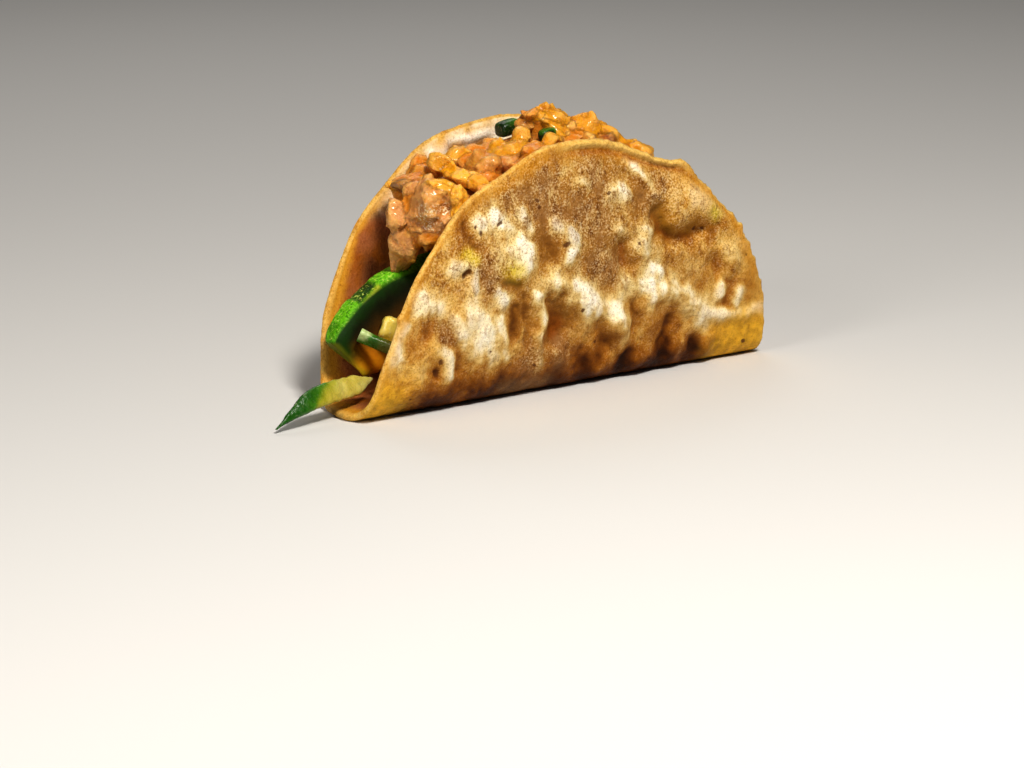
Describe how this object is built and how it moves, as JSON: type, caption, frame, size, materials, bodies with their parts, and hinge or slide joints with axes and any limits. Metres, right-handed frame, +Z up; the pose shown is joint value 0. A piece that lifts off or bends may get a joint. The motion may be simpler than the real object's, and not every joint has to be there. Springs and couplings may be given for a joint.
{
  "type": "taco",
  "caption": "Soft corn tortilla folded round flaked fish in cream with an avocado slice and green chilli, standing on its fold.",
  "frame": {"origin": "on the flat foot under the fold, half way along the tortilla", "axes": "+Z up, +X along the fold away from the end with the long chilli strip, +Y towards the wall that leans out more"},
  "size_m": [0.1339, 0.0412, 0.0598],
  "materials": {
    "toasted_corn": "dry griddled corn dough, golden with grey-brown toasting, blistered and wrinkled",
    "fish_in_cream": "moist flaked fish in an orange cream, glossy",
    "avocado_flesh": "ripe avocado, bright green back shading to yellow-brown, moist",
    "green_chilli": "glossy dark green skin over pale yellow-green flesh",
    "onion": "pale yellow diced onion, moist"
  },
  "bodies": {
    "root": {"tortilla": "toasted_corn", "filling": "fish_in_cream", "avocado_slice": "avocado_flesh", "chilli_strip_long": "green_chilli", "chilli_strip_short": "green_chilli", "chilli_bit_a": "green_chilli", "chilli_bit_b": "green_chilli", "onion_piece": "onion"}
  },
  "joints": []
}
